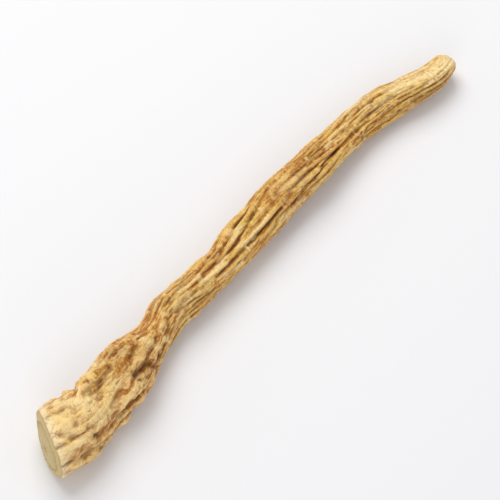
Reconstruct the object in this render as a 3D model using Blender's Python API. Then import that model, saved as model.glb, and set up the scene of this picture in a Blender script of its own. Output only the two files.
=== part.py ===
"""A dried ginseng root that lies on a flat surface.

The root is one solid: a thick crown that ends in a slanting cut, a shoulder where one lobe of the crown stops,
a body with lengthwise furrows, and a thin blunt end. It is a loft along X between unlike sections, each at
right angles to X. The sections follow a few hand-set stations, and formulas raise the bark's folds, furrows,
knobs and lumps. The crown is towards -X and the thin end towards +X. The root lies on the surface at Z = 0.
"""

import math

import bmesh
import bpy
import numpy as np

NAME = "ginseng_root"
MM = 0.001
TURN = 2 * math.pi

# One row for each station: the distance from the cut, the shift of the middle towards +Y, the width across Y,
# the height as a share of the width, and how far the underside stands clear of the surface. All but the share
# are in mm. Where the clearance is negative, the root rests and its lowest bumps are flattened.
STATIONS = (
    (0.0, 0.5, 11.2, 0.93, 0.30),
    (7.5, -0.75, 11.6, 0.90, -0.30),
    (12.5, -0.2, 10.3, 0.88, -0.50),
    (17.0, -0.1, 10.7, 0.88, -0.20),
    (20.5, 0.15, 10.2, 0.90, 0.20),
    (23.0, 0.4, 8.6, 0.94, 0.70),
    (26.5, 0.9, 6.7, 0.98, 0.80),
    (32.5, 2.45, 6.6, 0.98, 0.85),
    (39.0, 2.1, 6.7, 1.00, 0.60),
    (46.0, 2.2, 6.6, 0.97, 0.10),
    (50.0, 2.5, 7.3, 0.94, -0.18),
    (54.5, 2.7, 7.5, 0.96, -0.02),
    (59.0, 3.0, 7.5, 0.98, 0.35),
    (66.0, 2.9, 6.9, 0.98, 0.80),
    (71.0, 2.8, 6.8, 1.00, 0.75),
    (78.0, 2.9, 6.3, 0.98, 0.30),
    (85.0, 2.7, 6.3, 0.94, -0.12),
    (88.5, 2.2, 6.3, 0.94, -0.14),
    (94.5, 0.4, 5.8, 0.97, 0.30),
    (99.5, -0.85, 5.1, 0.98, 0.55),
    (104.6, -1.0, 4.0, 0.98, 1.10),
)
LENGTH = STATIONS[-1][0] * MM
USUAL_RADIUS = 3.7 * MM

# The cut slants across the root, stands out in its middle and curves back towards its edge. These are its slopes
# of X over Y and over Z, its curving of X over the squares of Y and of Z, how far the middle stands out, and how
# far along the root the sections take to come square again. A shallow dish is sunk in the cut, and its edge is
# rounded.
CUT_SLOPE_Y = 0.48
CUT_SLOPE_Z = 0.13
CUT_CURVE_Y = 0.054 / MM
CUT_CURVE_Z = 0.042 / MM
CUT_MIDDLE = 1.0 * MM
CUT_REACH = 20.0 * MM
CUT_EDGE = 0.35 * MM
CUT_DISH = 0.35 * MM
END_DOME = 1.7 * MM

# Random ripples for each layer of the bark: a seed, how many ripples, the fewest and most ripples round the
# root, the shortest ripple along it, and the height of the layer.
FOLDS = (5, 14, 2, 4, 24 * MM, 0.13 * MM)
FURROWS = (23, 34, 5, 12, 15 * MM, 0.30 * MM)
KNOBS = (31, 40, 2, 7, 6.5 * MM, 0.26 * MM)
LUMPS = (227, 44, 3, 13, 4.4 * MM, 0.11 * MM)
FURROW_BLUNTNESS = 0.15
KNOB_BLUNTNESS = 0.28
LUMP_BLUNTNESS = 0.20
# The knobs and lumps are high in some patches and nearly smooth in others. The height of this layer is a share
# of theirs, added to the usual share and kept between the least and the most.
LUMP_PATCHES = (911, 16, 1, 4, 9 * MM, 0.40)
LUMP_USUAL = 0.8
LUMP_LEAST = 0.2
LUMP_MOST = 1.15
# The furrows are deep in some patches and shallow in others in the same way, and all are lower on the crown.
PATCHES = (47, 12, 1, 3, 18 * MM, 0.25)
FURROW_USUAL = 0.8
FURROW_LEAST = 0.3
FURROW_MOST = 1.3
FURROW_LESS_ON_CROWN = 0.6
# The knobs and the lumps between them are full height on the crown and die away down the body.
KNOBS_FULL_TO = 20 * MM
KNOBS_GONE_BY = 52 * MM
# The layers wind this many radians round the root from end to end.
TWIST = 0.25
# Where the root is thicker its relief is higher, by this power of its thickness.
RELIEF_GROWTH = 0.6
# The relief is this share lower at the cut, and back to its full height this far along.
CALM_AT_CUT = 0.45
CALM_REACH = 5 * MM

# Creases that stand out: start and end along the root in mm with their angles in degrees, then the half width
# and the depth in mm. An angle of 0 is the +Y side, 90 the top and 180 the -Y side.
CREASES = (
    (1.5, 112, 7.5, 150, 0.40, 0.30),
    (7.5, 150, 17.5, 165, 0.40, 0.22),
    (4.0, 172, 11.0, 186, 0.45, 0.40),
    (13.0, 77, 16.5, 72, 0.55, 0.55),
    (18.6, 122, 22.2, 140, 0.50, 0.38),
    (21.8, 140, 23.4, 174, 0.50, 0.34),
    (26.2, 112, 28.2, 108, 0.45, 0.40),
    (41.0, 93, 50.5, 100, 0.38, 0.35),
    (43.5, 129, 51.5, 127, 0.38, 0.35),
    (52.0, 130, 60.0, 136, 0.40, 0.40),
    (58.0, 150, 63.5, 152, 0.38, 0.35),
    (70.5, 130, 84.0, 126, 0.36, 0.45),
    (73.5, 97, 80.5, 101, 0.36, 0.35),
    (82.0, 112, 91.0, 108, 0.36, 0.35),
    (30.0, 250, 44.0, 262, 0.45, 0.55),
    (55.0, 20, 70.0, 32, 0.42, 0.50),
    (24.0, 340, 41.0, 350, 0.45, 0.55),
    (58.0, 215, 79.0, 232, 0.45, 0.50),
    (5.0, 12, 17.0, -4, 0.50, 0.55),
    (6.0, 285, 19.0, 300, 0.50, 0.55),
    (4.8, 24, 8.2, 22, 1.20, 0.48),
)

# Low scars where fine rootlets broke off: the distance along the root in mm, the angle in degrees, then the
# radius and the height in mm. Each has a dimple in its top, narrower than the scar and less deep than it is
# high.
SCARS = (
    (9.0, 96, 1.0, 0.45),
    (11.5, 238, 1.1, 0.50),
    (17.5, 12, 1.0, 0.45),
    (33.5, 66, 0.8, 0.35),
    (36.0, 196, 0.8, 0.40),
    (62.0, 58, 0.8, 0.35),
    (67.0, 292, 0.8, 0.40),
    (80.0, 186, 0.7, 0.35),
)
DIMPLE_WIDTH = 0.45
DIMPLE_DEPTH = 0.6

# The mesh: how many points round each section, how many sections on the bark, and how far the rows on the cut
# and on the rounded end are drawn in towards their middle.
SIDES = 56
BARK_ROWS = 91
# The rows are closer together on the crown: their distances go as this power of their number.
ROW_CROWDING = 1.25
CUT_ROWS = (0.0, 0.5, 0.85)
END_ROWS = (0.85, 0.45, 0.0)
SAME_POINT = 0.01 * MM

BARK_COLOUR = (0.58, 0.37, 0.15, 1.0)
BARK_ROUGHNESS = 0.7


def smooth_through(points, values, at):
    """A smooth curve through the values at the points: between each two, a cubic with the polyline's slopes."""
    slopes = np.gradient(values, points)
    i = np.clip(np.searchsorted(points, at) - 1, 0, len(points) - 2)
    step = points[i + 1] - points[i]
    t = np.clip((at - points[i]) / step, 0, 1)
    rise = t * t * (3 - 2 * t)
    leave = t * (1 - t) ** 2 * slopes[i]
    arrive = t * t * (t - 1) * slopes[i + 1]
    return values[i] * (1 - rise) + values[i + 1] * rise + step * (leave + arrive)


def fade(value, full, gone):
    """One up to full, nought from gone on, and smooth between."""
    t = np.clip((value - full) / (gone - full), 0, 1)
    return 1 - t * t * (3 - 2 * t)


def ripples(layer, along, around):
    """A random field of usual size one: a sum of cosines, each with whole ripples round the root."""
    seed, count, fewest, most, shortest, _ = layer
    rng = np.random.default_rng(seed)
    turns = rng.integers(fewest, most + 1, count)
    per_metre = rng.uniform(-1, 1, count) / shortest
    phases = rng.uniform(0, TURN, count)
    total = np.zeros(np.broadcast(along, around).shape)
    for turn, pitch, phase in zip(turns, per_metre, phases):
        total += np.cos(turn * around + TURN * pitch * along + phase)
    return total * math.sqrt(2 / count)


def pleats(layer, along, around, bluntness):
    """Round ridges between narrow furrows: the size of a random field, which is nought along its furrows.

    The bluntness rounds the bottom of the furrows, and the usual size is taken off so that they cut in.
    """
    size = np.hypot(ripples(layer, along, around), bluntness)
    return (size - 1) * layer[-1]


def turned_from(around, degrees):
    """The angle from a direction given in degrees, between minus and plus half a turn."""
    return (around - math.radians(degrees) + math.pi) % TURN - math.pi


def crease(along, around, line):
    """A groove along a line on the unrolled bark, with a bell for its section."""
    start, start_angle, end, end_angle, half_width, depth = line
    run = np.array((end - start, math.radians(end_angle - start_angle) * USUAL_RADIUS / MM))
    from_start = along / MM - start
    sideways = turned_from(around, start_angle) * USUAL_RADIUS / MM
    share = np.clip((from_start * run[0] + sideways * run[1]) / (run @ run), 0, 1)
    distance = np.hypot(from_start - share * run[0], sideways - share * run[1])
    return -depth * MM * np.exp(-((distance / half_width) ** 2))


def scar(along, around, spot):
    """A low round bump with a dimple in its top: a wide bell less a narrow one."""
    middle, angle, radius, height = spot
    sideways = turned_from(around, angle) * USUAL_RADIUS / MM
    distance = np.hypot(along / MM - middle, sideways) / radius
    bump = np.exp(-(distance**2))
    dimple = DIMPLE_DEPTH * np.exp(-((distance / DIMPLE_WIDTH) ** 2))
    return height * MM * (bump - dimple)


def relief(along, around):
    """How far the bark stands out from its smooth section, in metres."""
    twisted = around + TWIST * along / LENGTH
    crown = fade(along, KNOBS_FULL_TO, KNOBS_GONE_BY)
    patches = FURROW_USUAL + ripples(PATCHES, along, around) * PATCHES[-1]
    furrows = np.clip(patches, FURROW_LEAST, FURROW_MOST) * (1 - FURROW_LESS_ON_CROWN * crown)
    height = ripples(FOLDS, along, twisted) * FOLDS[-1]
    height += pleats(FURROWS, along, twisted, FURROW_BLUNTNESS) * furrows
    lively = LUMP_USUAL + ripples(LUMP_PATCHES, along, around) * LUMP_PATCHES[-1]
    lively = np.clip(lively, LUMP_LEAST, LUMP_MOST)
    height += pleats(KNOBS, along, twisted, KNOB_BLUNTNESS) * crown * (1 + lively) / 2
    height += pleats(LUMPS, along, twisted, LUMP_BLUNTNESS) * crown * lively
    for line in CREASES:
        height += crease(along, around, line)
    for spot in SCARS:
        height += scar(along, around, spot)
    return height * (1 - CALM_AT_CUT * fade(along, 0, CALM_REACH))


def root_surface(along, around, shrink):
    """Points of the root: each section's ellipse with its relief, drawn in by shrink on the two ends."""
    rows = np.array(STATIONS)
    along_body = np.clip(along, 0, LENGTH)
    shift, width, share, clearance = (
        smooth_through(rows[:, 0], rows[:, k], along_body / MM) for k in (1, 2, 3, 4)
    )
    half_width = width * MM / 2
    half_height = half_width * share
    out = relief(along_body, around) * (half_width / USUAL_RADIUS) ** RELIEF_GROWTH
    smooth_y = half_width * np.cos(around) * shrink
    smooth_z = half_height * np.sin(around) * shrink
    slant = CUT_SLOPE_Y * smooth_y + CUT_SLOPE_Z * smooth_z - CUT_MIDDLE
    slant += CUT_CURVE_Y * smooth_y**2 + CUT_CURVE_Z * smooth_z**2
    x = along + slant * fade(along, 0, CUT_REACH)
    y = smooth_y + out * np.cos(around) * shrink
    z = smooth_z + out * np.sin(around) * shrink
    return np.stack((x, shift * MM + y, clearance * MM + half_height + z), axis=-1)


def rows_of_the_sheet():
    """For each row of the sheet, its distance along the root and how far it is drawn in."""
    cut = np.array(CUT_ROWS)
    end = np.array(END_ROWS)
    dish = CUT_DISH * (1 - cut**2)
    bark = CUT_EDGE + (LENGTH - END_DOME - CUT_EDGE) * np.linspace(0, 1, BARK_ROWS) ** ROW_CROWDING
    dome = LENGTH - END_DOME + END_DOME * np.sqrt(1 - end**2)
    return np.concatenate((dish, bark, dome)), np.concatenate((cut, np.ones(BARK_ROWS), end))


def settle(points):
    """Puts the middle of the box over the origin and flattens the lowest bumps, on which the root lies."""
    low, high = points.min(axis=0), points.max(axis=0)
    points[:, :2] -= (low[:2] + high[:2]) / 2
    points[:, 2] = np.maximum(points[:, 2], 0)
    return points


def make_bark():
    """The bark's plain finish."""
    bark = bpy.data.materials.new("bark")
    bark.use_nodes = True
    shader = bark.node_tree.nodes["Principled BSDF"]
    shader.inputs["Base Color"].default_value = BARK_COLOUR
    shader.inputs["Roughness"].default_value = BARK_ROUGHNESS
    return bark


def weld(mesh):
    """Closes the seam along the root and the points at its two ends, and turns the faces out."""
    shape = bmesh.new()
    shape.from_mesh(mesh)
    bmesh.ops.remove_doubles(shape, verts=shape.verts, dist=SAME_POINT)
    bmesh.ops.recalc_face_normals(shape, faces=shape.faces)
    shape.to_mesh(mesh)
    shape.free()


def make_root():
    """A flat grid wrapped round the root: columns go round it, and rows along it from the cut to the thin end."""
    along, shrink = rows_of_the_sheet()
    last_row = len(along) - 1
    bpy.ops.mesh.primitive_grid_add(x_subdivisions=SIDES, y_subdivisions=last_row, size=1)
    root = bpy.context.object
    root.name = root.data.name = NAME
    sheet = np.empty(len(root.data.vertices) * 3)
    root.data.vertices.foreach_get("co", sheet)
    across, up, _ = sheet.reshape(-1, 3).T
    around = (across + 0.5) * TURN
    row = np.rint((up + 0.5) * last_row).astype(int)
    points = settle(root_surface(along[row], around, shrink[row]))
    root.data.vertices.foreach_set("co", points.ravel())
    weld(root.data)
    root.data.materials.append(make_bark())
    root.data.shade_smooth()
    return root


def main():
    for old in list(bpy.data.objects):
        bpy.data.objects.remove(old)
    collection = bpy.data.collections.new("dried_ginseng_root")
    bpy.context.scene.collection.children.link(collection)
    root = make_root()
    for holder in list(root.users_collection):
        holder.objects.unlink(root)
    collection.objects.link(root)


main()
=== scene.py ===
"""How one dried ginseng root looks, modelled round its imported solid.

The bark, the cut and the blunt thin end are one closed sheet wrapped round the root. Rows run along it and
columns round it. Its shape is the solid's own, from the same stations and seeded ripples. The finer relief of
dried bark is added to it: wrinkles, lengthwise crumples and flakes on the crown, hairline creases, pits and
small cross marks. Distances on the bark are in millimetres until the points are placed.
"""

import math

import bpy
import numpy as np
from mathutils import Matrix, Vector


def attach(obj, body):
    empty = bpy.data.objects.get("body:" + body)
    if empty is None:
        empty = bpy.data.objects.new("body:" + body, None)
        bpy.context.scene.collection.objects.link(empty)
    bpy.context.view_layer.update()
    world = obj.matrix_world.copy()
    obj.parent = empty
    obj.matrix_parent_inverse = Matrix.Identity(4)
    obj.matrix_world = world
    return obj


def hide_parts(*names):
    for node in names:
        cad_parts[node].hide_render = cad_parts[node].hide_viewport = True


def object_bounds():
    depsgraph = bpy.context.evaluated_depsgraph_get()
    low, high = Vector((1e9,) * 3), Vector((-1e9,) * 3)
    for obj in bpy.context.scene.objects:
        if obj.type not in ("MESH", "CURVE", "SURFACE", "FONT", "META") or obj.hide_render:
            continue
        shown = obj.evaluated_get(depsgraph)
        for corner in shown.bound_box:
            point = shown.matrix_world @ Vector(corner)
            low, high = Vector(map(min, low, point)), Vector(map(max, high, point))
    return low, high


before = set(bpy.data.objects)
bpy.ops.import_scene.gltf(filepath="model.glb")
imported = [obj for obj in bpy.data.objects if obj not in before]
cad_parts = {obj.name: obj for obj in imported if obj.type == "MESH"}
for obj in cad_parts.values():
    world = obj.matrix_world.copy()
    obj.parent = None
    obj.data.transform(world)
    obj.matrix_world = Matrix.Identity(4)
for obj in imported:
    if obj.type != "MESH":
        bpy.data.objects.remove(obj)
CAD_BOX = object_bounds()

MM = 0.001
TURN = 2 * math.pi

# The solid's stations: the distance from the cut, the shift of the middle towards +Y, the width across Y, the
# height as a share of the width, and how far the underside stands clear of the surface. Where that clearance
# is negative, the root rests and its lowest bumps are flattened.
STATIONS = (
    (0.0, 0.5, 11.2, 0.93, 0.30),
    (7.5, -0.75, 11.6, 0.90, -0.30),
    (12.5, -0.2, 10.3, 0.88, -0.50),
    (17.0, -0.1, 10.7, 0.88, -0.20),
    (20.5, 0.15, 10.2, 0.90, 0.20),
    (23.0, 0.4, 8.6, 0.94, 0.70),
    (26.5, 0.9, 6.7, 0.98, 0.80),
    (32.5, 2.45, 6.6, 0.98, 0.85),
    (39.0, 2.1, 6.7, 1.00, 0.60),
    (46.0, 2.2, 6.6, 0.97, 0.10),
    (50.0, 2.5, 7.3, 0.94, -0.18),
    (54.5, 2.7, 7.5, 0.96, -0.02),
    (59.0, 3.0, 7.5, 0.98, 0.35),
    (66.0, 2.9, 6.9, 0.98, 0.80),
    (71.0, 2.8, 6.8, 1.00, 0.75),
    (78.0, 2.9, 6.3, 0.98, 0.30),
    (85.0, 2.7, 6.3, 0.94, -0.12),
    (88.5, 2.2, 6.3, 0.94, -0.14),
    (94.5, 0.4, 5.8, 0.97, 0.30),
    (99.5, -0.85, 5.1, 0.98, 0.55),
    (104.6, -1.0, 4.0, 0.98, 1.10),
)
LENGTH = STATIONS[-1][0]
USUAL_RADIUS = 3.7

# The cut slants across the root, stands out in its middle and curves back towards its edge. These are its
# slopes of X over Y and over Z, its curving of X over the squares of Y and of Z, how far the middle stands
# out, and how far along the root the sections take to come square again. A shallow dish is sunk in the cut,
# its edge is rounded, and the thin end is a dome.
CUT_SLOPE_Y = 0.48
CUT_SLOPE_Z = 0.13
CUT_CURVE_Y = 0.054
CUT_CURVE_Z = 0.042
CUT_MIDDLE = 1.0
CUT_REACH = 20.0
CUT_EDGE = 0.35
CUT_DISH = 0.35
END_DOME = 1.7

# Each layer of ripples has a seed, how many ripples, the fewest and most of them round the root, the shortest
# along it, and the layer's height. These first ones are the solid's.
FOLDS = (5, 14, 2, 4, 24, 0.13)
FURROWS = (23, 34, 5, 12, 15, 0.30)
KNOBS = (31, 40, 2, 7, 6.5, 0.26)
LUMPS = (227, 44, 3, 13, 4.4, 0.11)
FURROW_BLUNTNESS = 0.15
KNOB_BLUNTNESS = 0.28
LUMP_BLUNTNESS = 0.20
# The knobs and lumps are high in some patches and nearly smooth in others. The height of this layer is a
# share of theirs, added to the usual share and kept between the least and the most.
LUMP_PATCHES = (911, 16, 1, 4, 9, 0.40)
LUMP_USUAL = 0.8
LUMP_LEAST = 0.2
LUMP_MOST = 1.15
# The furrows are deep in some patches and shallow in others in the same way, and all are lower on the crown.
PATCHES = (47, 12, 1, 3, 18, 0.25)
FURROW_USUAL = 0.8
FURROW_LEAST = 0.3
FURROW_MOST = 1.3
FURROW_LESS_ON_CROWN = 0.6
# The knobs and the lumps between them are full height on the crown and die away down the body.
KNOBS_FULL_TO = 20
KNOBS_GONE_BY = 52
# The layers wind this many radians round the root from end to end.
TWIST = 0.25
# Where the root is thicker its relief is higher, by this power of its thickness.
RELIEF_GROWTH = 0.6
# The relief is this share lower at the cut, and back to its full height this far along.
CALM_AT_CUT = 0.45
CALM_REACH = 5

# The finer layers are in the scene alone. These two bend the places from which the others are taken, and
# their last number is how far: in mm along the root, and in radians round it.
BEND_ALONG = (211, 24, 2, 9, 3.0, 0.55)
BEND_ROUND = (223, 24, 2, 9, 3.0, 0.09)
FINE_BLUNTNESS = 0.2
# The fine layers that belong to the crown are full to here and gone by there.
CROWN_FULL_TO = 16
CROWN_GONE_BY = 40
# Crumples in two sizes: the share of them that goes on down the body, and the share that is added to that of
# the lumps, so that there are some everywhere.
CRUMPLES = (
    (229, 50, 7, 24, 3.0, 0.055),
    (233, 60, 14, 42, 1.9, 0.04),
)
CRUMPLE_ON_BODY = 0.12
CRUMPLE_ADDED = 0.3
# Flakes step up where their bent field passes these levels, over so much of it on either side. The crumples
# fray their edges, and the edges of every mark and stain.
FLAKES = (241, 60, 3, 12, 3.0, 0.08)
FLAKE_LEVELS = (-0.45, 0.55)
FLAKE_SLOPE = 0.12
FLAKE_FRAY = 0.15
MARK_FRAY = 0.3
# Wrinkles, deeper in some patches, and fibres between them. Both are this share lower on the crown.
WRINKLES = (71, 50, 10, 26, 6.5, 0.10)
WRINKLE_PATCHES = (113, 14, 1, 4, 12, 0.35)
WRINKLE_USUAL = 0.9
WRINKLE_LEAST = 0.25
WRINKLE_MOST = 1.6
FIBRES = (83, 60, 20, 48, 4, 0.045)
FIBRE_LESS_ON_CROWN = 0.30
# Faint rings in some patches, with this share of their height on the body.
RINGS = (97, 40, 0, 6, 1.1, 0.06)
RING_BLUNTNESS = 0.3
RING_PATCHES = (103, 10, 1, 3, 12, 1.0)
RING_MOST = 1.5
RING_ON_BODY = 0.35

# The solid's creases: start and end along the root with their angles in degrees, the half width and the
# depth. An angle of 0 is the +Y side, 90 the top and 180 the -Y side.
CREASES = (
    (1.5, 112, 7.5, 150, 0.40, 0.30),
    (7.5, 150, 17.5, 165, 0.40, 0.22),
    (4.0, 172, 11.0, 186, 0.45, 0.40),
    (13.0, 77, 16.5, 72, 0.55, 0.55),
    (18.6, 122, 22.2, 140, 0.50, 0.38),
    (21.8, 140, 23.4, 174, 0.50, 0.34),
    (26.2, 112, 28.2, 108, 0.45, 0.40),
    (41.0, 93, 50.5, 100, 0.38, 0.35),
    (43.5, 129, 51.5, 127, 0.38, 0.35),
    (52.0, 130, 60.0, 136, 0.40, 0.40),
    (58.0, 150, 63.5, 152, 0.38, 0.35),
    (70.5, 130, 84.0, 126, 0.36, 0.45),
    (73.5, 97, 80.5, 101, 0.36, 0.35),
    (82.0, 112, 91.0, 108, 0.36, 0.35),
    (30.0, 250, 44.0, 262, 0.45, 0.55),
    (55.0, 20, 70.0, 32, 0.42, 0.50),
    (24.0, 340, 41.0, 350, 0.45, 0.55),
    (58.0, 215, 79.0, 232, 0.45, 0.50),
    (5.0, 12, 17.0, -4, 0.50, 0.55),
    (6.0, 285, 19.0, 300, 0.50, 0.55),
    (4.8, 24, 8.2, 22, 1.20, 0.48),
)

# What stands out on the side that the camera sees. Each end of a mark has its distance along the root and its
# place across it, from minus one at the left edge to one at the right. Then come the half width, the rise,
# and the stain, which is pale over nought and dark under it. In sunk marks the dark is partly painted shade,
# and the long pale strips along the edges are painted rim light.
MARKS = (
    (2.7, -0.88, 4.8, -0.82, 0.60, 0.12, 0.8),
    (3.3, -0.62, 3.6, -0.60, 0.50, -0.10, -0.4),
    (6.6, -0.62, 7.0, -0.60, 0.40, 0.10, 0.7),
    (5.6, -0.49, 5.7, -0.45, 0.28, -0.18, -0.6),
    (7.9, -0.70, 9.2, -0.76, 0.35, 0.14, 1.0),
    (8.2, -0.33, 9.2, -0.25, 0.28, -0.22, -0.8),
    (10.1, -0.43, 12.6, -0.47, 0.80, -0.12, -0.4),
    (12.9, -0.44, 15.3, -0.38, 0.50, -0.18, -0.6),
    (12.9, -0.93, 16.9, -0.92, 0.35, 0.12, 0.7),
    (18.4, -0.80, 21.8, -0.40, 1.50, -0.08, -0.5),
    (0.2, 0.26, 6.1, 0.28, 0.30, -0.20, -0.35),
    (6.1, 0.28, 7.2, 0.58, 0.30, -0.12, -0.3),
    (0.2, 0.08, 4.8, 0.08, 0.45, 0.15, 0.6),
    (-0.5, 0.46, 4.8, 0.47, 0.60, 0.16, 0.8),
    (-1.5, 0.80, 2.0, 0.80, 0.25, -0.18, -0.7),
    (9.8, 0.33, 12.9, 0.36, 0.90, 0.08, 0.35),
    (14.1, 0.00, 17.2, -0.02, 0.75, 0.12, 0.3),
    (18.6, 0.28, 18.8, 0.52, 0.42, -0.18, -0.7),
    (20.9, 0.20, 22.8, 0.60, 0.60, -0.12, -0.7),
    (13.5, 0.62, 18.4, 0.44, 0.60, 0.14, 0.45),
    (12.9, 0.87, 18.4, 0.85, 0.25, -0.18, -0.6),
    (24.3, -0.45, 25.9, 0.55, 0.55, 0.16, 0.5),
    (26.4, -0.06, 26.7, -0.02, 0.30, -0.20, -0.7),
    (27.9, 0.50, 28.5, 0.82, 0.45, 0.10, 0.7),
    (29.1, -0.06, 29.6, 0.12, 0.42, 0.08, 0.45),
    (30.6, -0.32, 30.9, -0.16, 0.34, 0.06, 0.45),
    (29.0, 0.52, 30.2, 0.28, 0.25, -0.18, -0.6),
    (32.0, -0.44, 33.6, -0.48, 0.50, -0.16, -0.5),
    (30.8, 0.75, 35.8, 0.25, 0.45, 0.12, 0.4),
    (35.4, -0.78, 35.9, -0.76, 0.35, -0.10, -0.6),
    (39.8, -0.05, 45.7, 0.10, 0.40, 0.18, 0.8),
    (41.0, -0.35, 44.4, -0.36, 0.24, -0.22, -0.7),
    (42.6, 0.33, 48.1, 0.34, 0.24, -0.22, -0.7),
    (43.8, 0.50, 48.1, 0.65, 0.35, 0.14, 0.6),
    (50.2, -0.75, 51.4, -0.72, 0.38, 0.08, 0.7),
    (49.6, -0.42, 52.4, -0.45, 0.35, 0.12, 0.7),
    (49.9, 0.13, 57.0, 0.16, 0.38, 0.16, 0.7),
    (50.9, 0.36, 56.7, 0.38, 0.22, -0.20, -0.7),
    (56.1, 0.50, 58.9, 0.42, 0.22, -0.18, -0.6),
    (56.1, 0.88, 59.5, 0.76, 0.30, 0.10, 0.6),
    (61.0, -0.60, 61.3, 0.60, 0.24, -0.06, -0.3),
    (66.2, -0.45, 66.4, 0.05, 0.28, -0.07, -0.5),
    (67.6, -0.40, 73.1, -0.42, 1.40, 0.00, -0.3),
    (71.0, 0.32, 76.2, 0.30, 0.22, -0.26, -1.0),
    (74.4, 0.30, 81.8, 0.12, 0.20, -0.16, -0.6),
    (74.4, -0.30, 75.9, -0.36, 0.35, 0.10, 0.8),
    (76.2, -0.50, 85.5, -0.46, 0.20, 0.08, 0.5),
    (76.5, -0.24, 85.0, -0.22, 0.20, 0.08, 0.4),
    # The next two marks are painted rim light: pale strips along the right edge.
    (56.5, 0.84, 65.0, 0.86, 0.38, 0.05, 0.7),
    (67.0, 0.86, 79.0, 0.86, 0.42, 0.08, 0.8),
    (78.7, -0.90, 80.3, -0.90, 0.34, 0.05, 0.8),
    (90.8, -0.62, 97.3, -0.50, 0.90, 0.00, 0.7),
    (92.3, 0.75, 100.0, 0.88, 0.60, 0.00, -0.6),
    (98.0, -0.30, 104.0, 0.10, 1.50, 0.00, 1.0),
    (5.8, -0.62, 8.8, -0.32, 1.50, 0.00, 0.85),
    (9.0, -0.35, 9.4, 0.05, 0.45, 0.03, 0.6),
    (14.0, -0.05, 15.4, 0.05, 0.60, 0.03, 0.5),
    (10.6, -0.62, 12.4, -0.25, 1.00, 0.00, -0.35),
    (8.5, 0.25, 13.0, 0.38, 1.50, 0.00, 0.5),
    (18.8, 0.12, 21.8, 0.45, 1.40, 0.00, -0.4),
    (86.5, -0.30, 89.5, -0.10, 1.30, 0.00, 0.35),
    (62.5, -0.30, 66.5, 0.00, 1.40, 0.00, 0.25),
    (91.5, -0.50, 103.5, -0.30, 1.20, 0.05, 1.0),
    (88.0, -0.12, 95.0, 0.02, 0.18, -0.14, -0.7),
    (91.0, 0.22, 99.0, 0.28, 0.18, -0.14, -0.7),
    # The next three marks are painted rim light: pale strips along the left edge.
    (31.0, -0.90, 39.0, -0.92, 0.40, 0.03, 0.5),
    (79.0, -0.90, 88.0, -0.90, 0.35, 0.03, 0.7),
    (89.0, -0.88, 101.0, -0.88, 0.45, 0.03, 0.8),
    (33.0, 0.30, 38.5, 0.48, 0.22, -0.20, -0.7),
    (36.5, -0.62, 42.5, -0.66, 0.20, -0.16, -0.6),
    (35.7, -0.80, 37.5, -0.62, 0.70, -0.10, -0.45),
    (37.0, 0.45, 39.5, 0.75, 0.80, -0.10, -0.40),
    (33.0, 0.00, 36.5, -0.05, 0.70, 0.08, 0.4),
    (32.5, 0.24, 38.0, 0.14, 0.20, -0.18, -0.7),
    (38.0, -0.20, 41.0, -0.15, 0.22, -0.18, -0.6),
    (36.0, 0.62, 41.0, 0.66, 0.20, -0.16, -0.6),
    (44.8, -0.60, 48.5, -0.62, 0.22, -0.20, -0.7),
    (35.5, -0.35, 40.5, -0.42, 0.32, 0.08, 0.6),
    (37.5, 0.32, 42.0, 0.26, 0.32, 0.08, 0.6),
    (44.0, -0.15, 47.0, -0.10, 0.30, 0.10, 0.6),
    (93.0, 0.48, 101.0, 0.55, 0.20, -0.15, -0.7),
    (99.5, 0.10, 103.5, 0.18, 0.16, -0.10, -0.6),
    (89.5, 0.50, 93.0, 0.46, 0.20, -0.15, -0.6),
    (6.8, -0.10, 11.0, 0.15, 1.20, 0.00, 0.45),
    (1.0, -0.40, 3.4, -0.10, 1.10, 0.00, 0.5),
)

# Broad stains on the same side: both ends as above, the half width, and the shares of rust and of olive.
STAINS = (
    (86.0, 0.55, 101.0, 0.72, 1.50, 0.60, 0.0),
    (66.5, -0.40, 73.5, -0.25, 1.60, 0.55, 0.0),
    (19.5, -0.70, 21.8, -0.20, 1.60, 0.60, 0.0),
    (20.0, 0.40, 23.0, 0.75, 1.30, 0.70, 0.0),
    (35.5, -0.55, 37.5, 0.10, 1.20, 0.50, 0.0),
    (44.5, -0.80, 47.5, -0.60, 1.20, 0.45, 0.0),
    (52.5, -0.60, 55.0, -0.70, 1.20, 0.0, 0.50),
    (80.0, -0.20, 89.0, -0.05, 1.60, 0.0, 0.65),
    (12.9, -0.62, 17.0, -0.50, 1.50, 0.0, 0.60),
    (32.0, -0.50, 35.5, -0.30, 1.20, 0.0, 0.55),
    (1.8, -0.55, 5.5, -0.35, 1.60, 0.0, 0.50),
    (60.0, -0.30, 65.0, 0.10, 1.50, 0.0, 0.35),
)
# The middle of that side, in degrees round the root.
FACING = 110

# The solid's scars: the distance along the root, the angle, the radius and the height. Each has a dimple in
# its top, with this share of its width and of its height.
SCARS = (
    (9.0, 96, 1.0, 0.45),
    (11.5, 238, 1.1, 0.50),
    (17.5, 12, 1.0, 0.45),
    (33.5, 66, 0.8, 0.35),
    (36.0, 196, 0.8, 0.40),
    (62.0, 58, 0.8, 0.35),
    (67.0, 292, 0.8, 0.40),
    (80.0, 186, 0.7, 0.35),
)
DIMPLE_WIDTH = 0.45
DIMPLE_DEPTH = 0.6

# The cut's round grooves and ridges: the share of the way out at which each lies, its width and its rise.
FACE_RINGS = (
    (0.93, 0.03, -0.10),
    (0.66, 0.05, -0.07),
    (0.76, 0.06, 0.05),
)
# The cut's rays: a seed, how many rays there are in each set, and their height.
RAY_SEED = 167
RAY_SETS = range(9, 40, 3)
RAY_HEIGHT = 0.012
# The cut's star of cracks: the direction and the reach of each, and how wide, how bent and how deep all are.
CRACKS = ((20, 0.42), (98, 0.6), (171, 0.35), (236, 0.55), (310, 0.38))
CRACK_WIDTH = 0.028
CRACK_BEND = 0.35
CRACK_DEPTH = 0.22

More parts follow.
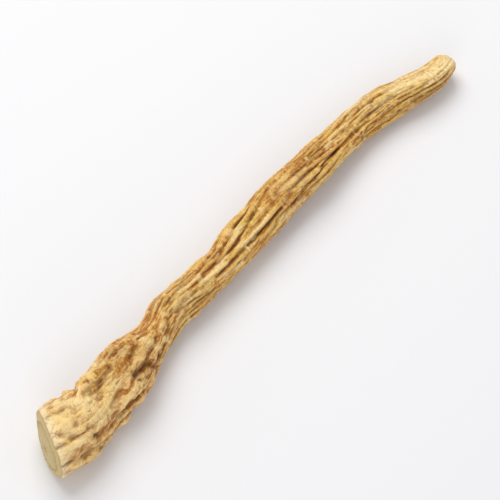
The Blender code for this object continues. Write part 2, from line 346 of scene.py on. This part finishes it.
# The sheet: how many rows it has on the cut, round the cut's edge, on the bark and over the thin end, and how
# many columns round the root. The rows on the cut go as this power of their number, and the cut's edge is
# rounded over this share of the way out.
FACE_ROWS = 26
EDGE_ROWS = 4
BARK_ROWS = 500
DOME_ROWS = 9
COLUMNS = 180
FACE_CROWDING = 0.8
EDGE_SHARE = 0.045
# How far the thin end's last point stands out over the ring round it.
POLE_RISE = 0.01

# The finish reads how deep each point lies under its surroundings, near and wide: the widths of the blurs
# that are compared, and the depth that counts as one. It darkens the hollows and valleys with painted shade
# and makes the ridges paler with painted highlight, each partly the bark's own colour as well.
HOLLOW_BLUR = 0.45
HOLLOW_DEPTH = 0.12
VALLEY_BLUR = 2.0
VALLEY_FINE_BLUR = 0.3
VALLEY_DEPTH = 0.35

# The camera's direction from the root in degrees, its distance and target in metres, and its lens in mm.
CAMERA_AZIMUTH = -48.7
CAMERA_ELEVATION = 61.5
CAMERA_DISTANCE = 0.60
CAMERA_TARGET = (0.0, 0.0, 0.004)
CAMERA_LENS = 249
CAMERA_NEAREST = 0.01


def colour(code):
    """A linear colour from its six hexadecimal digits of sRGB."""
    parts = [int(code[i : i + 2], 16) / 255 for i in (0, 2, 4)]
    return (*(p / 12.92 if p < 0.04045 else ((p + 0.055) / 1.055) ** 2.4 for p in parts), 1.0)


def smooth_through(points, values, at):
    """A smooth curve through the values at the points.

    Between each two points it is a cubic, and at each point it has the polyline's slope.
    """
    slopes = np.gradient(values, points)
    i = np.clip(np.searchsorted(points, at) - 1, 0, len(points) - 2)
    step = points[i + 1] - points[i]
    t = np.clip((at - points[i]) / step, 0, 1)
    rise = t * t * (3 - 2 * t)
    leave = t * (1 - t) ** 2 * slopes[i]
    arrive = t * t * (t - 1) * slopes[i + 1]
    return values[i] * (1 - rise) + values[i + 1] * rise + step * (leave + arrive)


def fade(value, full, gone):
    """One up to full, nought from gone on, and smooth between."""
    t = np.clip((value - full) / (gone - full), 0, 1)
    return 1 - t * t * (3 - 2 * t)


def bell(distance):
    """One at nought, and falling away as exp(-d^2)."""
    return np.exp(-(distance**2))


def ripples(layer, along, around):
    """A random field of usual size one: a sum of cosines, each with whole ripples round the root."""
    seed, count, fewest, most, shortest, _ = layer
    rng = np.random.default_rng(seed)
    turns = rng.integers(fewest, most + 1, count)
    per_mm = rng.uniform(-1, 1, count) / shortest
    phases = rng.uniform(0, TURN, count)
    total = np.zeros(np.broadcast(along, around).shape)
    for turn, pitch, phase in zip(turns, per_mm, phases):
        total += np.cos(turn * around + TURN * pitch * along + phase)
    return total * math.sqrt(2 / count)


def pleats(layer, along, around, bluntness):
    """Round ridges between narrow furrows: the size of a random field, blunted, less its usual size."""
    return (np.hypot(ripples(layer, along, around), bluntness) - 1) * layer[-1]


def turned_from(around, degrees):
    """The angle from a direction given in degrees, between minus and plus half a turn."""
    return (around - math.radians(degrees) + math.pi) % TURN - math.pi


def crease(along, around, line):
    """A groove along a line on the unrolled bark, with a bell for its section."""
    start, start_angle, end, end_angle, half_width, depth = line
    run = np.array((end - start, math.radians(end_angle - start_angle) * USUAL_RADIUS))
    from_start = along - start
    sideways = turned_from(around, start_angle) * USUAL_RADIUS
    share = np.clip((from_start * run[0] + sideways * run[1]) / (run @ run), 0, 1)
    distance = np.hypot(from_start - share * run[0], sideways - share * run[1])
    return -depth * bell(distance / half_width)


def scar(along, around, spot):
    """A low round bump with a dimple in its top: a wide bell less a narrow one."""
    middle, angle, radius, height = spot
    distance = np.hypot(along - middle, turned_from(around, angle) * USUAL_RADIUS) / radius
    return height * (bell(distance) - DIMPLE_DEPTH * bell(distance / DIMPLE_WIDTH))


def in_patches(layer, along, around, usual, least, most):
    """A share that changes from patch to patch: the usual one with a random field added, within limits."""
    return np.clip(usual + ripples(layer, along, around) * layer[-1], least, most)


def lively_patches(along, around):
    """The share of their height that knobs and lumps have, from patch to patch."""
    return in_patches(LUMP_PATCHES, along, around, LUMP_USUAL, LUMP_LEAST, LUMP_MOST)


def solid_relief(along, around):
    """How far the solid's bark stands out from its smooth section."""
    twisted = around + TWIST * along / LENGTH
    crown = fade(along, KNOBS_FULL_TO, KNOBS_GONE_BY)
    furrows = in_patches(PATCHES, along, around, FURROW_USUAL, FURROW_LEAST, FURROW_MOST)
    furrows = furrows * (1 - FURROW_LESS_ON_CROWN * crown)
    height = ripples(FOLDS, along, twisted) * FOLDS[-1]
    height += pleats(FURROWS, along, twisted, FURROW_BLUNTNESS) * furrows
    lively = lively_patches(along, around)
    height += pleats(KNOBS, along, twisted, KNOB_BLUNTNESS) * crown * (1 + lively) / 2
    height += pleats(LUMPS, along, twisted, LUMP_BLUNTNESS) * crown * lively
    for line in CREASES:
        height += crease(along, around, line)
    for spot in SCARS:
        height += scar(along, around, spot)
    return height


class Bark:
    """The unrolled bark: a grid of rows along the root and columns round it, with its height and stains."""

    def __init__(self):
        stations = np.array(STATIONS)
        self.along = np.linspace(CUT_EDGE, LENGTH - END_DOME, BARK_ROWS)[:, None]
        self.around = np.arange(COLUMNS)[None, :] * TURN / COLUMNS
        self.twisted = self.around + TWIST * self.along / LENGTH
        self.radius = smooth_through(stations[:, 0], stations[:, 2], self.along) / 2
        self.crown = fade(self.along, CROWN_FULL_TO, CROWN_GONE_BY)
        self.height = solid_relief(self.along, self.around)
        self.rough = ripples(CRUMPLES[0], self.along, self.around)
        self.flakes, self.pale, self.dark, self.rust, self.olive = np.zeros((5, *self.height.shape))

    def near(self, along, degrees, reach):
        """The rows within reach of a spot, with their points' distances from it along and round the root."""
        rows = slice(*np.searchsorted(self.along[:, 0], (along - reach, along + reach)))
        return rows, self.along[rows] - along, turned_from(self.around, degrees) * self.radius[rows]

    def crooked(self):
        """The places along and round the root from which the fine layers are taken, pushed about a little."""
        along = self.along + ripples(BEND_ALONG, self.along, self.around) * BEND_ALONG[-1]
        around = self.twisted + ripples(BEND_ROUND, self.along, self.around) * BEND_ROUND[-1]
        return along, around

    def crumple(self):
        """Crumpled bark in two sizes on the crown, and a little of it down the body."""
        along, around = self.crooked()
        share = CRUMPLE_ON_BODY + (1 - CRUMPLE_ON_BODY) * self.crown
        share = share * (CRUMPLE_ADDED + lively_patches(self.along, self.around))
        for layer in CRUMPLES:
            self.height += pleats(layer, along, around, FINE_BLUNTNESS) * share

    def flake(self):
        """Thin flakes on the crown: a low step up wherever a bent random field passes one of its levels."""
        along, around = self.crooked()
        field = ripples(FLAKES, along, around) + FLAKE_FRAY * self.rough
        for level in FLAKE_LEVELS:
            self.flakes += fade(-field, -level - FLAKE_SLOPE, -level + FLAKE_SLOPE) / len(FLAKE_LEVELS)
        self.height += FLAKES[-1] * (self.flakes - 0.5) * self.crown

    def stroke(self, start, start_across, end, end_across, half_width):
        """One along a line on the side that the camera sees, and falling away on both sides of it."""
        angles = [FACING + math.degrees(math.asin(across)) for across in (start_across, end_across)]
        run_along = end - start
        run_round = math.radians(angles[1] - angles[0])
        from_start = self.along - start
        sideways = turned_from(self.around, angles[0])
        radius = self.radius
        share = (from_start * run_along + sideways * run_round * radius**2) / (
            run_along**2 + (run_round * radius) ** 2
        )
        share = np.clip(share, 0, 1)
        distance = np.hypot(from_start - share * run_along, (sideways - share * run_round) * radius)
        return bell(distance * (1 + MARK_FRAY * self.rough) / half_width)

    def stain(self):
        """Broad rusty and olive patches on the side that the camera sees."""
        for *line, rust, olive in STAINS:
            patch = self.stroke(*line)
            self.rust = np.maximum(self.rust, patch * rust)
            self.olive = np.maximum(self.olive, patch * olive)

    def mark(self):
        """The ridges, hollows and small stains of the side that the camera sees, and some painted shade and
        rim light.
        """
        for *line, rise, stain in MARKS:
            mark = self.stroke(*line)
            self.height += rise * mark
            # Pale marks are paler bark, and along the edges painted rim light. Dark ones in dents are partly
            # painted shade.
            if stain > 0:
                self.pale = np.maximum(self.pale, mark * stain)
            else:
                self.dark = np.maximum(self.dark, -mark * stain)

    def wrinkle(self):
        """Fine lengthwise pleats, deeper in some patches, and fibres and faint rings between them."""
        patches = in_patches(
            WRINKLE_PATCHES, self.along, self.around, WRINKLE_USUAL, WRINKLE_LEAST, WRINKLE_MOST
        )
        body = 1 - FIBRE_LESS_ON_CROWN * self.crown
        along = self.crooked()[0]
        self.height += pleats(WRINKLES, along, self.twisted, FINE_BLUNTNESS) * patches * body
        self.height += pleats(FIBRES, along, self.twisted, FINE_BLUNTNESS) * body
        where = in_patches(RING_PATCHES, self.along, self.around, 0, 0, RING_MOST)
        where = where * (RING_ON_BODY + (1 - RING_ON_BODY) * self.crown)
        self.height += pleats(RINGS, self.along, self.around, RING_BLUNTNESS) * where

    def hairlines(self, seed, count, shortest, longest, depth):
        """Thin lengthwise creases that wander a little and run out at both ends."""
        rng = np.random.default_rng(seed)
        for _ in range(count):
            middle = rng.uniform(1, LENGTH - 2)
            degrees = rng.uniform(0, 360)
            half = rng.uniform(shortest, longest) / 2
            slope = rng.normal(-0.03, 0.05)
            sway = rng.uniform(0.05, 0.25)
            pitch = rng.uniform(4, 9)
            phase = rng.uniform(0, TURN)
            half_width = rng.uniform(0.10, 0.17)
            rows, step, sideways = self.near(middle, degrees, half)
            path = slope * step + sway * np.sin(TURN * step / pitch + phase)
            runs_out = np.sqrt(np.clip(1 - (step / half) ** 2, 0, 1))
            cut = bell((sideways - path) / half_width) * runs_out
            self.height[rows] -= cut * depth * rng.uniform(0.5, 1.2)
            # The crease's floor is darkened: partly its own darker colour, partly painted shade.
            self.dark[rows] = np.maximum(self.dark[rows], cut * rng.uniform(0.3, 0.9))

    def cross_marks(self, seed, count, first, last):
        """Small raised lenses that lie across the root, each split along its length."""
        rng = np.random.default_rng(seed)
        for _ in range(count):
            middle = rng.uniform(first, last)
            degrees = rng.uniform(0, 360)
            half = rng.uniform(0.4, 1.3)
            thick = rng.uniform(0.16, 0.26)
            height = rng.uniform(0.06, 0.16)
            lean = rng.normal(0, 0.12)
            rows, step, sideways = self.near(middle, degrees, 2)
            step = step - lean * sideways
            lens = bell(step / thick) * np.clip(1 - (sideways / half) ** 2, 0, 1)
            split = bell(step / (0.3 * thick)) * np.clip(1 - (sideways / (0.8 * half)) ** 2, 0, 1)
            self.height[rows] += height * (lens - 1.3 * split)
            self.pale[rows] = np.maximum(self.pale[rows], lens * rng.uniform(0.2, 0.9))
            # The split is darkened: partly its own colour, partly painted shade.
            self.dark[rows] = np.maximum(self.dark[rows], split * 0.6)

    def pits(self, seed, count, first, last):
        """Small pits with a raised brim, dark inside: partly their own colour, partly painted shade."""
        rng = np.random.default_rng(seed)
        for _ in range(count):
            middle = rng.uniform(first, last)
            degrees = rng.uniform(0, 360)
            radius = rng.uniform(0.22, 0.5)
            depth = rng.uniform(0.12, 0.34)
            rows, step, sideways = self.near(middle, degrees, 2.5)
            distance = np.hypot(step * 0.7, sideways) / radius
            self.height[rows] += depth * (0.5 * bell(distance / 1.8) - 1.4 * bell(distance))
            # The pit's bottom is darkened: partly its own colour, partly painted shade.
            self.dark[rows] = np.maximum(self.dark[rows], bell(distance) * rng.uniform(0.3, 0.9))

    def blurred(self, field, width):
        """The field with its waves damped as a Gaussian blur of that width does, mirrored at both ends."""
        mirrored = np.concatenate((field[::-1], field, field[::-1]))
        per_mm_along = np.fft.fftfreq(len(mirrored), float(self.along[1, 0] - self.along[0, 0]))
        per_mm_round = np.fft.rfftfreq(COLUMNS, TURN * USUAL_RADIUS / COLUMNS)
        damping = np.exp(-2 * (math.pi * width) ** 2 * (per_mm_along[:, None] ** 2 + per_mm_round**2))
        return np.fft.irfft2(np.fft.rfft2(mirrored) * damping, mirrored.shape)[BARK_ROWS : 2 * BARK_ROWS]


def grown_bark():
    """The bark with all of its fine layers, marks and stains, calmer towards the cut."""
    bark = Bark()
    bark.crumple()
    bark.flake()
    bark.wrinkle()
    bark.hairlines(seed=149, count=150, shortest=2, longest=9, depth=0.12)
    bark.cross_marks(seed=151, count=90, first=3, last=LENGTH - 3)
    bark.pits(seed=157, count=30, first=2, last=30)
    bark.pits(seed=163, count=16, first=30, last=LENGTH - 4)
    bark.mark()
    bark.stain()
    bark.height *= 1 - CALM_AT_CUT * fade(bark.along, 0, CALM_REACH)
    return bark


def face_relief(share, around):
    """How far the cut stands out: a groove under the bark, a ring, fine rays and a small star of cracks."""
    rings = sum(rise * bell((share - place) / width) for place, width, rise in FACE_RINGS)
    rng = np.random.default_rng(RAY_SEED)
    rays = np.zeros(np.broadcast(share, around).shape)
    for turns in RAY_SETS:
        rays += np.cos(turns * around + rng.uniform(0, TURN) + rng.normal(0, 3) * share)
    rays *= RAY_HEIGHT * np.clip(share * 2.5, 0, 1)
    star = np.zeros(rays.shape)
    for degrees, reach in CRACKS:
        bend = turned_from(around, degrees) + CRACK_BEND * np.sin(share * 7 + degrees)
        star += bell(bend * share / CRACK_WIDTH) * fade(share, reach * 0.4, reach)
    return rings + rays - CRACK_DEPTH * np.clip(star, 0, 1)


def put_attribute(mesh, name, values):
    """Gives each point of the mesh its number, or its three numbers."""
    kind, key = ("FLOAT_VECTOR", "vector") if values.ndim == 2 else ("FLOAT", "value")
    attribute = mesh.attributes.new(name, kind, "POINT")
    attribute.data.foreach_set(key, values.astype(np.float32).ravel())


def sheet_rows():
    """For each row, its distance along the root, how far it is drawn in, and the bark row that it takes.

    The face is a shallow dish, its edge a quarter round, and the far end a dome.
    """
    flat = 1 - EDGE_SHARE
    share = np.linspace(1 / FACE_ROWS, 1, FACE_ROWS) ** FACE_CROWDING * flat
    lean = np.linspace(0, math.pi / 2, EDGE_ROWS + 2)[1:-1]
    dome = np.linspace(math.pi / 2, 0, DOME_ROWS + 1)[1:-1]
    bark = np.linspace(CUT_EDGE, LENGTH - END_DOME, BARK_ROWS)
    along = (
        CUT_DISH * (1 - (share / flat) ** 2),
        CUT_EDGE * (1 - np.cos(lean)),
        bark,
        LENGTH - END_DOME + END_DOME * np.cos(dome),
    )
    drawn = (share, flat + EDGE_SHARE * np.sin(lean), np.ones(BARK_ROWS), np.sin(dome))
    source = (
        np.zeros(FACE_ROWS + EDGE_ROWS, int),
        np.arange(BARK_ROWS),
        np.full(len(dome), BARK_ROWS - 1),
    )
    return np.concatenate(along)[:, None], np.concatenate(drawn)[:, None], np.concatenate(source)


def placed(along, around, share, out, lift):
    """Points of the root: each section's ellipse with its relief, drawn in by its share.

    The cut leans them along the root, and the lift is added to that. They are in metres.
    """
    stations = np.array(STATIONS)
    on_body = np.clip(along, 0, LENGTH)
    shift, width, ratio, clearance = (
        smooth_through(stations[:, 0], stations[:, k], on_body) for k in (1, 2, 3, 4)
    )
    half_width = width / 2
    half_height = half_width * ratio
    out = out * (half_width / USUAL_RADIUS) ** RELIEF_GROWTH
    smooth_y = half_width * np.cos(around) * share
    smooth_z = half_height * np.sin(around) * share
    slant = CUT_SLOPE_Y * smooth_y + CUT_SLOPE_Z * smooth_z - CUT_MIDDLE
    slant += CUT_CURVE_Y * smooth_y**2 + CUT_CURVE_Z * smooth_z**2
    lean = slant * fade(along, 0, CUT_REACH)
    y = smooth_y + out * np.cos(around) * share
    z = smooth_z + out * np.sin(around) * share
    return np.stack((along + lean + lift, shift + y, clearance + half_height + z), axis=-1) * MM


def centred(points):
    """The points, moved level until the middle of their box is over the middle of the solid's."""
    middle = (Vector(CAD_BOX[0]) + Vector(CAD_BOX[1])) / 2
    low, high = points.min(axis=(0, 1)), points.max(axis=(0, 1))
    points[..., :2] += np.array(middle[:2]) - (low[:2] + high[:2]) / 2
    return points


def closed_sheet(name, points, poles):
    """A mesh of rings of points joined by quads, with a fan of triangles to a pole at each end.

    What lies lower than the surface on which the root rests is flattened onto it.
    """
    rows = len(points)
    vertices = np.concatenate((points.reshape(-1, 3), poles))
    vertices[:, 2] = np.maximum(vertices[:, 2], 0)
    row, column = np.meshgrid(np.arange(rows - 1), np.arange(COLUMNS), indexing="ij")
    here, beside = row * COLUMNS + column, row * COLUMNS + (column + 1) % COLUMNS
    quads = np.stack((here, beside, beside + COLUMNS, here + COLUMNS), axis=-1).reshape(-1, 4)
    ring = np.arange(COLUMNS)
    following = (ring + 1) % COLUMNS
    last = (rows - 1) * COLUMNS
    first_fan = np.stack((np.full(COLUMNS, rows * COLUMNS), following, ring), axis=-1)
    last_fan = np.stack((last + ring, last + following, np.full(COLUMNS, rows * COLUMNS + 1)), axis=-1)
    mesh = bpy.data.meshes.new(name)
    mesh.from_pydata(vertices.tolist(), [], quads.tolist() + first_fan.tolist() + last_fan.tolist())
    mesh.shade_smooth()
    return mesh


def give_fields(mesh, bark, along, share, source):
    """Gives the mesh what its finish reads: the bark's fields, and how far along and inside each point is."""
    rows = len(along)

    def per_point(field, at_poles):
        """The field's value at every point of the rings, and then at the two poles."""
        return np.concatenate((np.broadcast_to(field, (rows, COLUMNS)).ravel(), at_poles))

    near = bark.blurred(bark.height, HOLLOW_BLUR) - bark.height
    wide = bark.blurred(bark.height, VALLEY_BLUR) - bark.blurred(bark.height, VALLEY_FINE_BLUR)
    fields = {
        "hollow": near / HOLLOW_DEPTH,
        "valley": wide / VALLEY_DEPTH,
        "flakes": bark.flakes,
        "pale": bark.pale,
        "dark": bark.dark,
        "rust": bark.rust,
        "olive": bark.olive,
    }
    for name, field in fields.items():
        put_attribute(mesh, name, per_point(field[source], (0, 0)))
    put_attribute(mesh, "down", per_point(along / LENGTH, (0, 1)))
    off_bark = (np.arange(rows)[:, None] < FACE_ROWS + EDGE_ROWS) | (along > LENGTH - END_DOME)
    put_attribute(mesh, "inside", per_point(np.where(off_bark, 1 - share, 0), (1, 1)))
    twisted = bark.around + TWIST * along / LENGTH
    radius = bark.radius[source] * share
    straight = (
        per_point(along, (0, LENGTH)),
        per_point(radius * np.cos(twisted), (0, 0)),
        per_point(radius * np.sin(twisted), (0, 0)),
    )
    put_attribute(mesh, "straight", np.stack(straight, axis=1))


def make_root(bark):
    """The root as one closed sheet, with what its finish reads."""
    along, share, source = sheet_rows()
    on_face = np.arange(len(along))[:, None] < FACE_ROWS
    lift = np.where(on_face, -face_relief(share, bark.around), 0)
    points = centred(placed(along, bark.around, share, bark.height[source], lift))
    poles = np.stack((points[0].mean(axis=0), points[-1].mean(axis=0)))
    poles[1, 0] = points[-1, :, 0].max() + POLE_RISE * MM
    mesh = closed_sheet("root_bark", points, poles)
    give_fields(mesh, bark, along, share, source)
    root = bpy.data.objects.new("root_bark", mesh)
    bpy.context.scene.collection.objects.link(root)
    return root


class Amount:
    """One output of a node. Arithmetic on it adds Math nodes to its finish."""

    def __init__(self, finish, socket):
        self.finish = finish
        self.socket = socket

    def maths(self, operation, *terms):
        """One Math node on terms that are amounts or numbers."""
        return self.finish.node("Math", {"operation": operation}, dict(enumerate(terms)))

    def __add__(self, other):
        return self.maths("ADD", self, other)

    def __radd__(self, other):
        return self.maths("ADD", other, self)

    def __sub__(self, other):
        return self.maths("SUBTRACT", self, other)

    def __rsub__(self, other):
        return self.maths("SUBTRACT", other, self)

    def __mul__(self, other):
        return self.maths("MULTIPLY", self, other)

    def __rmul__(self, other):
        return self.maths("MULTIPLY", other, self)


class Finish:
    """A material under construction."""

    def __init__(self, name):
        self.material = bpy.data.materials.new(name)
        self.material.use_nodes = True
        self.tree = self.material.node_tree
        self.shader = self.tree.nodes["Principled BSDF"]

    def node(self, kind, settings=None, sockets=None, output=0):
        """Adds a node: its settings come first, then the values or links of its sockets."""
        node = self.tree.nodes.new("ShaderNode" + kind)
        for name, value in (settings or {}).items():
            if name == "stops":
                self.set_stops(node.color_ramp.elements, value)
            else:
                setattr(node, name, value)
        for name, value in (sockets or {}).items():
            self.feed(node.inputs[name], value)
        return Amount(self, node.outputs[output])

    def set_stops(self, elements, stops):
        """Gives a ramp its stops, each with a position and a colour."""
        while len(elements) < len(stops):
            elements.new(1)
        for element, (position, value) in zip(elements, stops):
            element.position = position
            element.color = value

    def feed(self, socket, value):
        """Links a socket to an amount, or sets it to a value."""
        if isinstance(value, Amount):
            self.tree.links.new(value.socket, socket)
        else:
            socket.default_value = value

    def given(self, name):
        """A number that the mesh holds for each point."""
        return self.node("Attribute", {"attribute_name": name}, output="Fac")

    def place(self, name, stretch=(1, 1, 1)):
        """A place that the mesh holds for each point, with its three numbers multiplied."""
        held = self.node("Attribute", {"attribute_name": name}, output="Vector")
        return self.node("VectorMath", {"operation": "MULTIPLY"}, {0: held, 1: stretch})

    def noise(self, place, per_mm, detail=3.0, roughness=0.55, distortion=0.0):
        """Soft noise about one half, with so many lumps to a millimetre."""
        sockets = {
            "Vector": place,
            "Scale": per_mm,
            "Detail": detail,
            "Roughness": roughness,
            "Distortion": distortion,
        }
        return self.node("TexNoise", None, sockets)

    def between(self, value, low, high):
        """Nought below low, one above high, and smooth between."""
        settings = {"interpolation_type": "SMOOTHSTEP"}
        return self.node("MapRange", settings, {"Value": value, "From Min": low, "From Max": high})

    def ramp(self, value, stops):
        """A colour that goes by the value, from stops that each have a position and a colour's digits."""
        stops = [(position, colour(code)) for position, code in stops]
        return self.node("ValToRGB", {"stops": stops}, {0: value})

    def mix(self, share, first, second):
        """The first colour with so much of the second over it."""
        return self.node("Mix", {"data_type": "RGBA"}, {0: share, 6: first, 7: second}, output=2)

    def layered(self, base, layers):
        """The base with one colour after another over it, each with its share and its digits."""
        for share, code in layers:
            base = self.mix(share, base, colour(code))
        return base

    def surface(self, sockets):
        """Feeds sockets of the finish's shader."""
        for name, value in sockets.items():
            self.feed(self.shader.inputs[name], value)


def wood_colour(finish, inside, down):
    """The colour of the cut from its rim inwards, in uneven rings, and paler on the thin end."""
    rings = finish.noise(finish.place("straight", (0.3, 1, 1)), 1.6, 4, 0.6)
    stops = (
        (0.00, "b58a4e"),
        (0.04, "d0b277"),
        (0.22, "d8bf8a"),
        (0.30, "b99e62"),
        (0.38, "cfb780"),
        (0.70, "d8c08e"),
        (1.00, "c6aa70"),
    )
    layers = (
        (finish.between(rings, 0.55, 0.8) * 0.35, "9c8850"),
        (finish.between(down, 0.5, 0.6) * 0.65, "ffe2a6"),
    )
    return finish.layered(finish.ramp(inside + (rings - 0.5) * 0.16, stops), layers)


def bark_finish():
    """Dried bark, with bare wood on the cut and on the thin end.

    The bark's main colour goes by how far down the root it is. Over it lie broad blotches and stains, then
    mottling, flakes and flecks, then lengthwise streaks on the body and winding lines on the crown, and last
    what follows the relief: ridges made paler, partly as painted highlight, valleys and hollows made browner
    and darker, partly as painted shade, and the placed marks, some of them painted rim light along the edges.
    """
    finish = Finish("dried_bark")
    names = ("hollow", "valley", "flakes", "pale", "dark", "rust", "olive", "down", "inside")
    hollow, valley, flakes, pale, dark, rust, olive, down, inside = map(finish.given, names)
    even_way = finish.place("straight")
    long_way = finish.place("straight", (0.17, 1, 1))
    short_way = finish.place("straight", (0.35, 1, 1))

    blotches = finish.noise(short_way, 0.30, 3, 0.6)
    warmth = finish.noise(short_way, 0.55, 2, 0.5)
    breaks = 0.35 + finish.between(finish.noise(short_way, 0.8, 2, 0.5), 0.42, 0.58) * 0.65
    mottle = finish.noise(even_way, 0.75, 4, 0.7)
    flecks = finish.noise(even_way, 2.2, 3, 0.65, 0.4)
    streaks = finish.noise(long_way, 1.6, 4, 0.6, 0.3)
    fine_streaks = finish.noise(long_way, 5.0, 3, 0.6, 0.3)
    grain = finish.noise(even_way, 5.0, 3, 0.6)
    winding = finish.noise(short_way, 0.75, 2, 0.5, 0.8)
    specks = finish.noise(even_way, 2.6, 2, 0.5)
    crown = finish.between(down, 0.40, 0.14)
    lines = (1 - crown) * breaks
    bent_lines = finish.between(winding, 0.46, 0.50) * finish.between(winding, 0.54, 0.50)
    pale_ridge_and_highlight = finish.between(hollow, -0.05, -0.75)

    stops = (
        (0.00, "ffd588"),
        (0.07, "de9c44"),
        (0.20, "c67f29"),
        (0.27, "d3913b"),
        (0.38, "dba24b"),
        (0.50, "d69a40"),
        (0.62, "bd7217"),
        (0.74, "ca882b"),
        (0.84, "ce8f36"),
        (0.91, "dca44c"),
        (1.00, "f4c276"),
    )
    layers = (
        (finish.between(blotches, 0.50, 0.60) * 0.55, "b86c27"),
        (finish.between(blotches, 0.50, 0.40) * 0.45, "d6b957"),
        (finish.between(warmth, 0.50, 0.60) * 0.40, "e3a468"),
        (olive * 0.80, "c29f3d"),
        (rust * 0.85, "b87a36"),
        (finish.between(mottle, 0.51, 0.60) * 0.60, "9e5a18"),
        (finish.between(mottle, 0.48, 0.40) * 0.65, "f6d07c"),
        (finish.between(flakes, 0.45, 0.10) * crown * 0.42, "a96826"),
        (finish.between(flakes, 0.55, 0.90) * crown * 0.58, "ffd893"),
        (finish.between(flecks, 0.53, 0.62) * 0.45, "935415"),
        (finish.between(flecks, 0.46, 0.37) * 0.45, "fddc92"),
        (finish.between(streaks, 0.52, 0.64) * lines * 0.62, "a55f1a"),
        (finish.between(streaks, 0.48, 0.36) * lines * 0.58, "f4cd72"),
        (finish.between(fine_streaks, 0.54, 0.68) * lines * 0.55, "945214"),
        (finish.between(fine_streaks, 0.45, 0.32) * lines * 0.32, "f6d280"),
        (finish.between(down, 0.12, 0.02) * 0.30, "ffdda0"),
        (finish.between(down + (mottle - 0.5) * 0.02, 0.016, 0.004) * 0.65, "ffeec8"),
        (bent_lines * crown * 0.55, "a0682a"),
        # Ridges made paler: partly the paler bark of dried ridges, partly painted highlight on what stands
        # out.
        (pale_ridge_and_highlight * (0.25 + finish.between(grain, 0.35, 0.65) * 0.40), "fbd27c"),
        (pale_ridge_and_highlight * crown * 0.25, "ffdfa2"),
        # Valleys and hollows made browner and darker: partly the bark's darker colour in its grooves, partly
        # painted shade.
        (finish.between(valley, 0.1, 1.2) * (0.48 - crown * 0.16), "935010"),
        (finish.between(hollow, 0.10, 0.9) * breaks * (0.68 - crown * 0.14), "82480e"),
        (finish.between(hollow, 0.8, 2.2) * 0.60, "4c2a0d"),
        # Dark marks, crease floors, splits and pit bottoms: partly their own colour, partly painted shade.
        (dark * 0.68, "65380e"),
        # Pale marks and cross marks, with painted rim light along the edges.
        (pale * (0.55 + finish.between(flecks, 0.60, 0.40) * 0.42), "ffe7aa"),
        (finish.between(specks, 0.66, 0.74) * 0.38, "5a3210"),
    )
    bark = finish.layered(finish.ramp(down + (mottle - 0.5) * 0.10, stops), layers)
    on_wood = finish.between(inside + (mottle - 0.5) * 0.04, 0.015, 0.05)
    height = fine_streaks * 0.4 + grain * 0.5 + streaks * 0.3 + flecks * 0.8
    sockets = {
        "Base Color": finish.mix(on_wood, bark, wood_colour(finish, inside, down)),
        "Roughness": 0.60 + finish.between(hollow, -0.5, 1.0) * 0.22,
        "Specular IOR Level": 0.20,
        "Sheen Weight": 0.08,
        "Sheen Roughness": 0.5,
        "Normal": finish.node("Bump", None, {"Strength": 0.8, "Distance": 0.16 * MM, "Height": height}),
    }
    finish.surface(sockets)
    return finish.material


def plain_finish(name, code, roughness):
    """One even colour."""
    finish = Finish(name)
    finish.surface({"Base Color": colour(code), "Roughness": roughness})
    return finish.material


def make_floor():
    """A wide plain sheet at the height of the lowest bumps."""
    half = 1.5
    corners = [(-half, -half, 0), (half, -half, 0), (half, half, 0), (-half, half, 0)]
    mesh = bpy.data.meshes.new("floor")
    mesh.from_pydata(corners, [], [(0, 1, 2, 3)])
    mesh.materials.append(plain_finish("floor_white", "ededef", 0.6))
    floor = bpy.data.objects.new("floor", mesh)
    bpy.context.scene.collection.objects.link(floor)


def add_light(name, place, size, watts, tint):
    """A square area light that faces the root."""
    lamp = bpy.data.lights.new(name, "AREA")
    lamp.size = size
    lamp.energy = watts
    lamp.color = tint
    light = bpy.data.objects.new(name, lamp)
    light.location = place
    light.rotation_euler = (-Vector(place)).to_track_quat("-Z", "Y").to_euler()
    bpy.context.scene.collection.objects.link(light)


def light_studio():
    """A large soft light from above and behind, a weak one from the front, and a pale sky."""
    add_light("key", (0.16, 0.30, 0.52), size=0.45, watts=2.5, tint=(1.0, 0.975, 0.94))
    add_light("fill", (-0.45, -0.30, 0.25), size=0.40, watts=0.85, tint=(0.97, 0.98, 1.0))
    world = bpy.data.worlds.new("studio")
    world.use_nodes = True
    sky = world.node_tree.nodes["Background"]
    sky.inputs["Color"].default_value = (0.95, 0.965, 0.99, 1.0)
    sky.inputs["Strength"].default_value = 0.55
    bpy.context.scene.world = world
    bpy.context.scene.view_settings.view_transform = "Standard"


def set_camera():
    """The camera stands off at the photograph's angle, and its lens frames the whole root."""
    azimuth = math.radians(CAMERA_AZIMUTH)
    elevation = math.radians(CAMERA_ELEVATION)
    level = math.cos(elevation)
    back = Vector((math.sin(azimuth) * level, -math.cos(azimuth) * level, math.sin(elevation)))
    lens = bpy.data.cameras.new("camera")
    lens.lens = CAMERA_LENS
    lens.clip_start = CAMERA_NEAREST
    camera = bpy.data.objects.new("camera", lens)
    camera.location = Vector(CAMERA_TARGET) + back * CAMERA_DISTANCE
    camera.rotation_euler = back.to_track_quat("Z", "Y").to_euler()
    bpy.context.scene.collection.objects.link(camera)
    bpy.context.scene.camera = camera


set_camera()
light_studio()
make_floor()
root = make_root(grown_bark())
root.data.materials.append(bark_finish())
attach(root, "root")
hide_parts("ginseng_root")
